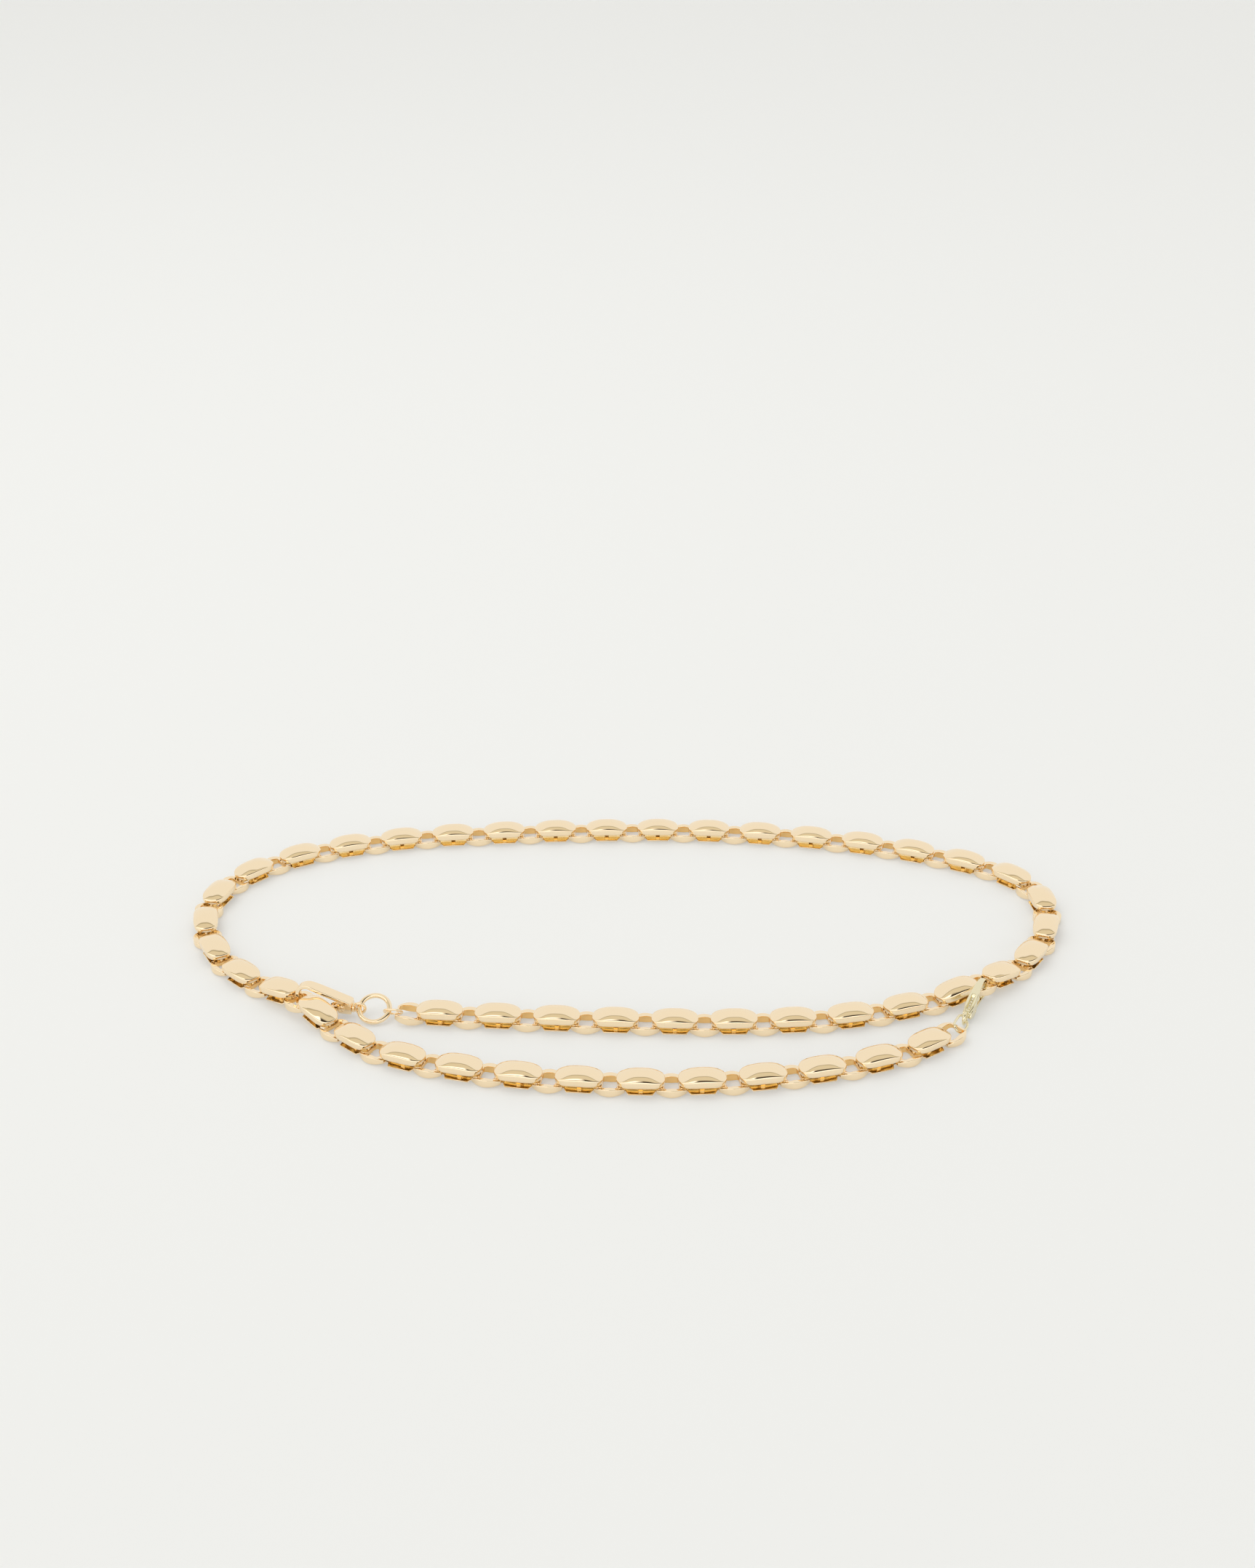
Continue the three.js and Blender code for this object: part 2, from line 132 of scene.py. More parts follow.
HOOK_WIDTH = 4.5
HOOK_NOSE_WIDTH = 3.0
STRAP_THICK = 1.4
NOSE_MIDDLE = 21.6
NOSE_CURVE = 4.3
NOSE_CURVE_Z = 7.1
NOSE_TIP_Z = 0.35
NOSE_TIP_ROUNDING = 0.6
NOSE_TAPER_FROM = 0.42
NOSE_TAPER_LENGTH = 0.28
STRAP_START = (2.62, 5.3)
BLOCK_WALL = 0.72
GATE_PIVOT = (5.9, 3.9)
GATE_TIP = NOSE_MIDDLE - 1.1
GATE_HALF_WIDTH = 1.7
GATE_ROOT_HALF_WIDTH = 1.2
GATE_FLOOR_HALF_WIDTH = 1.3
GATE_FLOOR_THICK = 0.95
GATE_WALL = 0.6
GATE_NARROWING = 0.18
GATE_ROOT_END = 8
RIVET_RADIUS = 0.55

LEVER_PIVOT = (6.3, 2.3)
LEVER_HALF_WIDTH = 0.7
PIN_RADIUS = 0.4
PIN_HALF_LENGTH = 1.75
CLASP_EYE_Z = 2.6
CLASP_EYE_RADIUS = 2.0
CLASP_EYE_WIRE = 0.46
CLASP_SLOT = (2.9, 8.6)
CLASP_SLOT_DEPTH = 0.85
CLASP_SLOT_HALF = 0.62
CLASP_SLOT_LIP = 0.08
CLASP_SLOT_RUN_OUT = 0.4
CLASP_CORNER = 0.4
CLASP_TIP_WIDTH = 1.9
CLASP_TIP_FROM = 0.72


# ---- mesh making ----

def finished(name, verts, faces, subdivide=0, bevel=0.0, bevel_angle=35, slots=None):
    """A mesh from millimetre points, with its modifiers applied. Faces may carry a material slot."""
    mesh = bpy.data.meshes.new(name)
    mesh.from_pydata([Vector(v) * MM for v in verts], [], faces)
    if slots is not None:
        mesh.polygons.foreach_set("material_index", slots)
    clean = bmesh.new()
    clean.from_mesh(mesh)
    bmesh.ops.remove_doubles(clean, verts=clean.verts, dist=1e-7)
    bmesh.ops.recalc_face_normals(clean, faces=clean.faces)
    clean.to_mesh(mesh)
    clean.free()
    mesh.shade_smooth()
    holder = bpy.data.objects.new(name, mesh)
    bpy.context.scene.collection.objects.link(holder)
    if bevel:
        edge = holder.modifiers.new("edges", "BEVEL")
        edge.width = bevel * MM
        edge.segments = 3
        edge.limit_method = "ANGLE"
        edge.angle_limit = math.radians(bevel_angle)
        weigh = holder.modifiers.new("normals", "WEIGHTED_NORMAL")
        weigh.keep_sharp = False
    if subdivide:
        holder.modifiers.new("smooth", "SUBSURF").levels = subdivide
    graph = bpy.context.evaluated_depsgraph_get()
    result = bpy.data.meshes.new_from_object(holder.evaluated_get(graph), depsgraph=graph)
    result.name = name
    bpy.data.objects.remove(holder)
    return result


def skin(rings, wrap=False, first=None, last=None):
    """Points and faces of a surface through rings of equal count. A first or last point closes an end."""
    count = len(rings[0])
    verts = [tuple(p) for ring in rings for p in ring]
    faces = []
    pairs = len(rings) if wrap else len(rings) - 1
    for r in range(pairs):
        a = r * count
        b = ((r + 1) % len(rings)) * count
        faces += [(a + i, a + (i + 1) % count, b + (i + 1) % count, b + i) for i in range(count)]
    for point, start in ((first, 0), (last, (len(rings) - 1) * count)):
        if point is not None:
            verts.append(tuple(point))
            hub = len(verts) - 1
            faces += [(hub, start + i, start + (i + 1) % count) for i in range(count)]
    return verts, faces


def merged(*parts):
    """Several point and face lists as one."""
    verts, faces = [], []
    for part_verts, part_faces in parts:
        offset = len(verts)
        verts += list(part_verts)
        faces += [tuple(i + offset for i in face) for face in part_faces]
    return verts, faces


def turns(count, start=0.0):
    """Evenly spaced angles of one whole turn."""
    return [start + 2 * math.pi * i / count for i in range(count)]


def lathe(profile, count=32, axis="z", centre=(0, 0, 0)):
    """A solid of revolution from (radius, height) pairs that start and end on the axis."""
    spin = {
        "z": lambda r, h, t: (r * math.cos(t), r * math.sin(t), h),
        "x": lambda r, h, t: (h, r * math.cos(t), r * math.sin(t)),
        "y": lambda r, h, t: (r * math.sin(t), h, r * math.cos(t)),
    }[axis]

    def place(r, h, t):
        return tuple(a + b for a, b in zip(spin(r, h, t), centre))

    rings = [[place(r, h, t) for t in turns(count)] for r, h in profile[1:-1]]
    return skin(rings, first=place(0, profile[0][1], 0), last=place(0, profile[-1][1], 0))


def rod_profile(radius, low, high, edge):
    """(radius, height) pairs of a rod with rounded rims."""
    arc = [math.radians(a) for a in (0, 30, 60, 90)]
    lower = [(radius - edge + edge * math.sin(a), low + edge - edge * math.cos(a)) for a in arc]
    upper = [(r, high + low - h) for r, h in reversed(lower)]
    return [(0, low), *lower, *upper, (0, high)]


def rounded_section(half_width, half_height, corner, per_corner=4):
    """Points of a rectangle with round corners, as (across, up) pairs."""
    points = []
    for quarter in range(4):
        middle_x = (half_width - corner) * (1 if quarter in (0, 3) else -1)
        middle_y = (half_height - corner) * (1 if quarter in (0, 1) else -1)
        for i in range(per_corner + 1):
            angle = math.pi / 2 * (quarter + i / per_corner)
            points.append((middle_x + corner * math.cos(angle), middle_y + corner * math.sin(angle)))
    return points


def middle_of(points):
    return tuple(np.mean(points, axis=0))


def turned(mesh_data, matrix):
    verts, faces = mesh_data
    return [tuple(matrix @ Vector(v)) for v in verts], faces


def curve_through(points, steps):
    """A smooth line through (x, z) points."""
    pts = np.array(points, float)
    ends = np.vstack([2 * pts[0] - pts[1], pts, 2 * pts[-1] - pts[-2]])
    out = []
    for i in range(len(pts) - 1):
        p0, p1, p2, p3 = ends[i : i + 4]
        for t in np.linspace(0, 1, steps, endpoint=False):
            out.append(
                0.5 * (2 * p1 + (p2 - p0) * t + (2 * p0 - 5 * p1 + 4 * p2 - p3) * t**2
                       + (3 * p1 - p0 - 3 * p2 + p3) * t**3)
            )
    out.append(pts[-1])
    return np.array(out)


def side_sweep(line, section_at):
    """A bar swept along an (x, z) line, in the plane of X and Z. section_at(share) gives (across, up)."""
    tangents = np.gradient(line, axis=0)
    tangents /= np.linalg.norm(tangents, axis=1)[:, None]
    rings = []
    for i, ((x, z), (tx, tz)) in enumerate(zip(line, tangents)):
        section = section_at(i / (len(line) - 1))
        rings.append([(x - tz * up, across, z + tx * up) for across, up in section])
    return skin(rings, first=middle_of(rings[0]), last=middle_of(rings[-1]))


def wire_loop(centre_line, wire, section=14):
    """A closed loop of round wire along a closed list of points in one plane."""
    pts = np.array(centre_line, float)
    middle = pts.mean(0)
    normal = np.cross(pts[0] - middle, pts[len(pts) // 4] - middle)
    normal /= np.linalg.norm(normal)
    rings = []
    for i, p in enumerate(pts):
        tangent = pts[(i + 1) % len(pts)] - pts[i - 1]
        side = np.cross(normal, tangent / np.linalg.norm(tangent))
        rings.append([p + wire * (math.cos(t) * side + math.sin(t) * normal) for t in turns(section)])
    return skin(rings, wrap=True)


# ---- the oval link: domed plate, flat plate, post and two uprights ----

def barrel_scale(angle):
    """How far the oval's outline lies along a direction, as a share of the plain ellipse."""
    low, high = 0.5, 2.0
    for _ in range(HALVINGS):
        middle = (low + high) / 2
        along = abs(middle * math.cos(angle)) ** OUTLINE_END_POWER
        across = abs(middle * math.sin(angle)) ** OUTLINE_SIDE_POWER
        low, high = (middle, high) if along + across < 1 else (low, middle)
    return low


def oval_shell():
    """The domed plate: crown, rounded crest, skirt and hollow underside. The underside takes slot 1, a
    darker, deeper gold that is painted shade for the dim hollow.
    """
    scales = [(a, barrel_scale(a)) for a in turns(OUTLINE_POINTS)]
    edge = [(HALF_LENGTH * k * math.cos(a), HALF_WIDTH * k * math.sin(a)) for a, k in scales]
    crest = [CREST_Z - (CREST_Z - CREST_END_Z) * (x / HALF_LENGTH) ** 2 for x, _ in edge]

    def inset(i, depth):
        """A point of the outline moved inward, and its share of the way out from the middle."""
        x, y = edge[i]
        share = 1 - depth / math.hypot(x, y)
        return x * share, y * share, share

    def crown(i, share):
        return crest[i] + (APEX_Z - crest[i]) * (1 - share**CROWN_POWER)

    def skirt_top(i):
        return crest[i] - CREST_DEPTH

    def crown_point(i, share):
        x, y = edge[i]
        return x * share, y * share, crown(i, share)

    def crest_point(i, t):
        """From the crown's rim at t = 0 round to the skirt's top at t = 1."""
        x, y = edge[i]
        start_x, start_y, share = inset(i, CREST_ROUNDING)
        a, b, c = (1 - t) ** 2, 2 * t * (1 - t), t**2
        z = a * crown(i, share) + b * crest[i] + c * skirt_top(i)
        return a * start_x + (b + c) * x, a * start_y + (b + c) * y, z

    def skirt_point(i, share, tuck):
        x, y, _ = inset(i, tuck)
        return x, y, skirt_top(i) + (SKIRT_Z + SKIRT_LIP - skirt_top(i)) * share

    def rim_point(i, depth):
        x, y, _ = inset(i, depth)
        return x, y, SKIRT_Z

    def hollow_point(i, depth, share):
        x, y, reach = inset(i, depth)
        return x, y, SKIRT_Z + (crown(i, reach) - SKIRT_Z) * share - HOLLOW_DROP

    around = range(OUTLINE_POINTS)
    crown_shares = (0.05, 0.14, 0.24, 0.34, 0.44, 0.54, 0.63, 0.72, 0.8, 0.87)
    crest_steps = 5
    skirt = ((0.3, 0), (0.65, 0.03), (0.93, 0.1))
    rings = [[crown_point(i, share) for i in around] for share in crown_shares]
    rings += [[crest_point(i, step / crest_steps) for i in around] for step in range(crest_steps + 1)]
    rings += [[skirt_point(i, share, tuck) for i in around] for share, tuck in skirt]
    rings += [[rim_point(i, depth) for i in around] for depth in (0.2, 0.5)]
    underside = (len(rings) - 1) * OUTLINE_POINTS
    hollow = ((0.62, 0.08), (0.8, 0.4), (1.4, 0.62), (2.4, 0.72))
    rings += [[hollow_point(i, depth, share) for i in around] for depth, share in hollow]
    ceiling = SKIRT_Z + (APEX_Z - SKIRT_Z) * HOLLOW_SHARE
    verts, faces = skin(rings, first=(0, 0, APEX_Z), last=(0, 0, ceiling))
    slots = [int(min(face) >= underside) for face in faces]
    return verts, faces, slots


def base_plate():
    """The flat plate with a narrow tongue at each end. Its rounded rim takes slot 0, its faces slot 1, the
    darker gold with painted shade for the dim space under the dome.
    """
    corners = [BASE_END, BASE_WAIST, BASE_CORNER]
    half = corners + [(-x, y) for x, y in reversed(corners)]
    outline = half + [(x, -y) for x, y in reversed(half)]

    def ring(shrink, z):
        return [(x - math.copysign(shrink, x), y - math.copysign(shrink, y), z) for x, y in outline]

    low_levels = [(BASE_EDGE * 2, 0), (BASE_EDGE * 0.6, 0.02), (0, BASE_EDGE)]
    high_levels = [(shrink, BASE_THICK - z) for shrink, z in reversed(low_levels)]
    rings = [ring(shrink, z) for shrink, z in low_levels + high_levels]
    verts, faces = skin(rings, first=(0, 0, 0), last=(0, 0, BASE_THICK))
    rim = range(len(outline), 4 * len(outline))
    slots = [int(i not in rim) for i in range(len(faces))]
    return verts, faces, slots


def post():
    section = rounded_section(POST_WIDTH / 2, POST_DEPTH / 2, POST_CORNER)
    rings = [[(x, y, z) for x, y in section] for z in (POST_LOW, POST_HIGH)]
    return skin(rings, first=(0, 0, POST_LOW), last=(0, 0, POST_HIGH))


def upright(x):
    profile = rod_profile(UPRIGHT_RADIUS, UPRIGHT_LOW, UPRIGHT_HIGH, UPRIGHT_EDGE)
    return lathe(profile, 18, centre=(x, 0, 0))


def oval_mesh():
    """The whole oval link, with its first upright at the origin."""
    shell_verts, shell_faces, shell_slots = oval_shell()
    plate_verts, plate_faces, plate_slots = base_plate()
    uprights = [upright(x) for x in (-OVAL_PIVOTS / 2, OVAL_PIVOTS / 2)]
    verts, faces = merged((shell_verts, shell_faces), (plate_verts, plate_faces), post(), *uprights)
    slots = shell_slots + plate_slots
    slots += [0] * (len(faces) - len(slots))
    place = Matrix.Translation((OVAL_PIVOTS / 2, 0, -PIVOT_Z))
    return finished("oval", [place @ Vector(v) for v in verts], faces, slots=slots)


# ---- the connector: lens-shaped side bars and thin end bars in one ring ----

def ring_outer(angle):
    """Where a ray from the middle meets the connector's outline."""
    c, s = abs(math.cos(angle)), abs(math.sin(angle))
    low, high = 0.0, 8.0
    for _ in range(HALVINGS):
        reach = (low + high) / 2
        x, y = reach * c, reach * s
        lens = RING_HALF_WIDTH - (RING_HALF_WIDTH - RING_TIP_HALF_WIDTH) * (x / RING_HALF_LENGTH) ** 2
        inside = y < lens and x < RING_HALF_LENGTH
        low, high = (reach, high) if inside else (low, reach)
    return low * math.copysign(c, math.cos(angle)), low * math.copysign(s, math.sin(angle))


def ring_inner(angle, start, end):
    """The hole's edge in one direction from the hole's middle. The hole runs from X = start to X = end."""
    half = (end - start) / 2
    c, s = math.cos(angle), math.sin(angle)
    rounded = abs(c / half) ** RING_HOLE_POWER + abs(s / RING_HOLE_Y) ** RING_HOLE_POWER
    reach = rounded ** (-1 / RING_HOLE_POWER)
    return reach * c + (start + end) / 2, reach * s


def ring_angles():
    """Directions round the connector, closer together at its corners."""
    corner = math.atan2(RING_TIP_HALF_WIDTH, RING_HALF_LENGTH)
    hole_corner = math.atan2(RING_HOLE_Y, RING_HOLE_X)
    end_bar = [0, 0.3, 0.45, corner - 0.02, corner, corner + 0.03]
    between = [0.64, 0.72, hole_corner - 0.06, hole_corner, hole_corner + 0.06]
    side_bar = [1.02, 1.14, 1.26, 1.38, 1.48]
    quarter = end_bar + between + side_bar
    half = quarter + [math.pi / 2] + [math.pi - a for a in reversed(quarter[1:])]
    return half + [a + math.pi for a in half]


def connector_section(along):
    """The bar's section as (share from hole to outline, height) pairs, and which of them are the hole's
    wall. It is tallest in the middle of the side bars, at along = 0, and lowest at the end bars, at 1."""
    low = RING_LOW + (RING_END_LOW - RING_LOW) * along**1.6
    high = RING_TOP - (RING_TOP - RING_END_HIGH) * along**2
    shoulder = [(0.82, high), (0.91, high - 0.03), (0.965, high - 0.11), (0.99, high - 0.23)]
    outside = [(1.0, high - 0.42), (1.0, low + (high - low) * 0.45), (0.985, low + 0.24), (0.95, low + 0.09)]
    underside = [(0.88, low), (0.15, low)]
    hole_wall = [(0.03, low + 0.04), (0.0, low + 0.14), (0.0, high - 0.3)]
    top = [(0.02, high - 0.2), (0.09, high - 0.14), (0.45, high - 0.08), (0.68, high - 0.02)]
    before = shoulder + outside + underside
    return before + hole_wall + top, range(len(before), len(before) + len(hole_wall))


def connector_mesh(name, start, end):
    """A connector whose hole runs from X = start to X = end. The hole's wall takes slot 1, an orange gold
    that is painted reflection of light bouncing between the bars.
    """
    rings = []
    walls = []
    for angle in ring_angles():
        inner = np.array(ring_inner(angle, start, end))
        outer = np.array(ring_outer(angle))
        section, wall = connector_section(min(1.0, abs(outer[0]) / RING_HALF_LENGTH))
        rings.append([(*(inner + (outer - inner) * share), z - PIVOT_Z) for share, z in section])
        walls += [int(i in wall) for i in range(len(section))]
    verts, faces = skin(rings, wrap=True)
    return finished(name, verts, faces, subdivide=1, slots=walls)


# ---- rings and the swivel bow ----

def stretched_circle(radius, stretch=0.0, count=48):
    """A circle in X and Z whose two halves are moved apart along X."""
    directions = [(math.cos(t), math.sin(t)) for t in turns(count, start=math.pi / count)]
    return [(radius * c + math.copysign(stretch, c), 0, radius * s) for c, s in directions]


def round_ring_mesh():
    line = stretched_circle(BIG_RING_RADIUS, count=72)
    tilt = Matrix.Rotation(math.pi / 2 - BIG_RING_TILT, 4, "X")
    return finished("round_ring", *turned(wire_loop(line, BIG_RING_WIRE, 20), tilt))


def jump_ring_mesh(name, radius, stretch, lean):
    line = stretched_circle(radius, stretch)
    return finished(name, *turned(wire_loop(line, JUMP_WIRE), Matrix.Rotation(lean, 4, "X")))


def swivel_bow_mesh():
    """A round eye, a collar beside it, and a shaft with a head that sits inside the hook's block."""
    eye = wire_loop(stretched_circle(BOW_RADIUS, count=40), BOW_WIRE)
    collar = [(0, 1.5), (0.8, 1.5), (1.3, 1.7), (1.62, 1.8), (1.7, 1.9), (1.7, 2.3), (1.6, 2.42)]
    shaft = [(0.65, 2.45), (0.62, 4.1), (1.0, 4.1), (1.05, 4.2), (1.05, 4.4), (0.95, 4.5), (0, 4.5)]
    return finished("swivel_bow", *merged(eye, lathe(collar + shaft, 28, axis="x")))


# ---- snap hook ----

def arc_points(x, z, radius, start, end, steps):
    """Points of an arc in X and Z, from and to angles in degrees."""
    angles = [math.radians(start + (end - start) * i / steps) for i in range(steps + 1)]
    return [(x + radius * math.cos(a), z + radius * math.sin(a)) for a in angles]


def strap():
    """The hook's flat back, bent round and down into its nose, which is narrower."""
    middle_radius = NOSE_CURVE - STRAP_THICK / 2
    curve_x = NOSE_MIDDLE - middle_radius
    bend = arc_points(curve_x, NOSE_CURVE_Z, middle_radius, 108, 0, 16)
    straight = list(np.linspace(STRAP_START, bend[0], 12, endpoint=False))
    nose = [(NOSE_MIDDLE, z) for z in np.linspace(NOSE_CURVE_Z, NOSE_TIP_Z, 12)[1:]]
    line = np.array([*straight, *bend, *nose])
    lengths = np.concatenate([[0], np.cumsum(np.linalg.norm(np.diff(line, axis=0), axis=1))])
    shares = lengths / lengths[-1]

    def section_at(step_share):
        share = shares[round(step_share * (len(line) - 1))]
        taper = min(1.0, max(0.0, (share - NOSE_TAPER_FROM) / NOSE_TAPER_LENGTH))
        taper = taper * taper * (3 - 2 * taper)
        width = HOOK_WIDTH + (HOOK_NOSE_WIDTH - HOOK_WIDTH) * taper
        from_end = (1 - share) * lengths[-1]
        past_rounding = max(0.0, 1 - from_end / NOSE_TIP_ROUNDING)
        tip = min(1.0, math.sqrt(max(0.02, 1 - past_rounding**2)))
        return rounded_section(width / 2 * (0.6 + 0.4 * tip), STRAP_THICK / 2 * tip, 0.34 * tip)

    return side_sweep(line, section_at)


def plate_from_outline(points, low_y, high_y):
    """A flat plate from an (x, z) outline, between two Y."""
    count = len(points)
    verts = [(x, low_y, z) for x, z in points] + [(x, high_y, z) for x, z in points]
    faces = [tuple(range(count)), tuple(range(2 * count - 1, count - 1, -1))]
    faces += [(i, count + i, count + (i + 1) % count, (i + 1) % count) for i in range(count)]
    return verts, faces


def hook_block():
    """Two cheeks for the gate and its rivet, and an end wall for the swivel shaft."""
    half = HOOK_WIDTH / 2
    cheek = [(2.6, 1.9), (6.9, 1.9), (7.4, 2.5), (7.4, 6.2), (6.9, 6.4), (2.9, 5.3), (2.6, 5.0)]
    near = plate_from_outline(cheek, -half, -half + BLOCK_WALL)
    far = plate_from_outline(cheek, half - BLOCK_WALL, half)
    end = plate_from_outline([(2.6, 1.9), (3.5, 1.9), (3.5, 5.2), (2.6, 5.0)], -half + 0.1, half - 0.1)
    return merged(near, far, end)


def joined(name, *meshes):
    """Several finished meshes as one."""
    whole = bmesh.new()
    for mesh in meshes:
        whole.from_mesh(mesh)
    result = bpy.data.meshes.new(name)
    whole.to_mesh(result)
    whole.free()
    result.shade_smooth()
    for mesh in meshes:
        bpy.data.meshes.remove(mesh)
    return result


def hook_body_mesh():
    block = finished("hook_block", *hook_block(), bevel=0.16)
    bar = finished("hook_strap", *strap(), subdivide=1)
    return joined("hook_body", block, bar)


def side_plates(outline, outer, inner):
    """Two equal plates, one on each side of the middle."""
    return [plate_from_outline(outline, -outer, -inner), plate_from_outline(outline, inner, outer)]


def gate_mesh():
    """A shallow channel bar that hangs on the rivet: floor, two walls and a closed far end."""
    root = [*arc_points(*GATE_PIVOT, 1, 60, 270, 10), (8.2, 2.2), (8.2, 4.4)]
    tongue_plate = plate_from_outline(root, -GATE_ROOT_HALF_WIDTH, GATE_ROOT_HALF_WIDTH)
    tongue = finished("gate_root", *tongue_plate, bevel=0.12)
    top = [(7.6, 4.35), (9.6, 3.95), (11.0, 2.95), (12.4, 1.2), (GATE_TIP, 1.1)]
    bottom = curve_through([(GATE_TIP, 0.35), (12.2, 0.4), (11.2, 0.7), (9.4, 1.6), (7.6, 2.3)], 4)
    side = [*curve_through(top, 4), *bottom]
    under = [(x, z - GATE_FLOOR_THICK) for x, z in curve_through(top[:4], 4)]
    floor = [*under, (GATE_TIP - 0.3, 0.95), *bottom]
    cover = [(10.9, 2.9), (12.4, 1.15), (GATE_TIP - 0.2, 1.0), (GATE_TIP - 0.2, 0.5), (10.9, 0.8)]
    parts = side_plates(side, GATE_HALF_WIDTH, GATE_HALF_WIDTH - GATE_WALL)
    for outline in (floor, cover):
        parts.append(plate_from_outline(outline, -GATE_FLOOR_HALF_WIDTH, GATE_FLOOR_HALF_WIDTH))
    meshes = [finished("gate_part", *part, bevel=0.1, bevel_angle=50) for part in parts]
    whole = joined("hook_gate", tongue, *meshes)
    for v in whole.vertices:
        share = min(1.0, max(0.0, (v.co.x / MM - GATE_ROOT_END) / (GATE_TIP - GATE_ROOT_END)))
        v.co.y *= 1 - GATE_NARROWING * share
    return whole


def rivet_mesh():
    """A pin through the block with a low ringed head on each side."""
    half = HOOK_WIDTH / 2
    button = [(0.0, 0.2), (0.5, 0.19), (0.72, 0.16), (0.78, 0.08)]
    rim = [(0.84, 0.08), (0.9, 0.17), (1.05, 0.19), (1.12, 0.14), (1.15, 0.02)]
    head = button + rim
    near = [(r, -half - h) for r, h in head]
    far = [(r, half + h) for r, h in reversed(head)]
    profile = [*near, (RIVET_RADIUS, -half - 0.02), (RIVET_RADIUS, half + 0.02), *far]
    centre = (GATE_PIVOT[0], 0, GATE_PIVOT[1])
    return finished("gate_rivet", *lathe(profile, 32, axis="y", centre=centre))


def gate_spring_mesh():
    """A bent leaf between the gate's root and the roof of the block."""
    line = curve_through([(4.75, 5.12), (5.3, 5.2), (6.0, 5.25), (6.6, 5.2)], 8)
    bar = side_sweep(line, lambda share: rounded_section(0.8, 0.07, 0.05, 3))
    return finished("gate_spring", *bar)


# ---- lobster clasp ----

def clasp_width(x):
    return float(np.interp(x, [0, 1.5, 3.5, 6, 9, 13, 17, 20.5], [1.5, 2.2, 3.1, 3.6, 3.3, 2.5, 2.0, 1.9]))


def spine_section(half_width, half_height, slot):
    """A rounded bar's section as (across, up) pairs, with a slot of the given depth along its top."""
    arcs = [math.radians(a) for a in (0, 22, 45, 68, 90)]
    across = [half_width - CLASP_CORNER + CLASP_CORNER * math.cos(a) for a in arcs]
    rise = [half_height - CLASP_CORNER + CLASP_CORNER * math.sin(a) for a in arcs]
    right = list(zip(across, rise))
    lower = [(y, -z) for y, z in right]
    lip = [
        (CLASP_SLOT_HALF + CLASP_SLOT_LIP, half_height),
        (CLASP_SLOT_HALF, half_height - CLASP_SLOT_LIP * bool(slot)),
        (CLASP_SLOT_HALF - 0.02, half_height - slot),
    ]
    right_top = right + lip
    left_top = [(-y, z) for y, z in reversed(right_top)]
    left_bottom = [(-y, z) for y, z in lower]
    return [*right_top, (0.0, half_height - slot), *left_top, *left_bottom, *reversed(lower)]


def clasp_spine():
    """The back of the clasp from the neck over to the tip, with a long slot in it."""
    back = [(1.6, 3.2), (4.2, 4.6), (7.6, 6.0), (11, 7.35), (14.2, 8.05), (17.4, 7.75)]
    tip = [(19.1, 6.6), (19.6, 4.6), (19.5, 2.6), (18.9, 1.0), (17.3, 0.72)]
    line = curve_through(back + tip, 7)
    slot_start, slot_end = CLASP_SLOT

    def section_at(share):
        x = line[round(share * (len(line) - 1))][0]
        half_height = float(np.interp(share, [0, 0.1, 0.4, 0.62, 0.8, 1], [1.0, 1.05, 0.75, 0.7, 0.62, 0.42]))
        if share > CLASP_TIP_FROM:
            return spine_section(CLASP_TIP_WIDTH / 2, half_height, 0.0)
        from_end = min(x - slot_start, slot_end - x)
        open_share = max(0.0, min(1.0, from_end / CLASP_SLOT_RUN_OUT))
        return spine_section(clasp_width(x) / 2, half_height, CLASP_SLOT_DEPTH * open_share)

    return side_sweep(line, section_at)


def clasp_cheeks():
    """The thick part round the lever's pin, open below for the lever."""
    front = [(1.3, 2.6), (1.7, 1.6), (3.4, 0.95), (5.8, 0.85)]
    back = [(7.2, 1.4), (7.7, 2.8), (7.8, 4.4), (7.4, 5.8)]
    roof = [(5.5, 5.3), (3.4, 4.4), (1.9, 3.6)]
    outline = [*map(tuple, curve_through(front + back, 5)), *roof]
    end_wall = plate_from_outline([(1.5, 1.9), (3.4, 1.2), (3.6, 4.2), (1.6, 3.4)], -1.3, 1.3)
    return merged(*side_plates(outline, 1.62, 0.95), end_wall)


def clasp_body_mesh():
    spine = finished("clasp_spine", *clasp_spine(), subdivide=1)
    cheeks = finished("clasp_cheeks", *clasp_cheeks(), bevel=0.25)
    loop = [(x, 0, z + CLASP_EYE_Z) for x, _, z in stretched_circle(CLASP_EYE_RADIUS, count=40)]
    eye = finished("clasp_eye", *wire_loop(loop, CLASP_EYE_WIRE))
    neck_profile = [(0, 1.5), (0.75, 1.5), (1.1, 2.0), (1.2, 3.0), (0, 3.2)]
    neck_at = (0, 0, CLASP_EYE_Z + 0.2)
    neck = finished("clasp_neck", *lathe(neck_profile, 24, axis="x", centre=neck_at))
    return joined("lobster_body", spine, cheeks, eye, neck)


def clasp_lever_mesh():
    """A flat bar that hangs on the pin and closes the clasp from below."""
    root = arc_points(*LEVER_PIVOT, 1.1, 80, 240, 10)
    low = curve_through([root[-1], (7.2, 0.75), (9, 0.42), (16.7, 0.38)], 5)
    high = curve_through([(16.7, 1.15), (11, 1.45), (9, 2.0), (7.7, 3.1), root[0]], 5)
    outline = [*root, *low[1:], (16.95, 0.75), *high[:-1]]
    plate = plate_from_outline(outline, -LEVER_HALF_WIDTH, LEVER_HALF_WIDTH)
    return finished("lobster_lever", *plate, bevel=0.18)


def clasp_pin_mesh():
    profile = rod_profile(PIN_RADIUS, -PIN_HALF_LENGTH, PIN_HALF_LENGTH, 0.1)
    centre = (LEVER_PIVOT[0], 0, LEVER_PIVOT[1])
    return finished("lobster_pin", *lathe(profile, 24, axis="y", centre=centre))


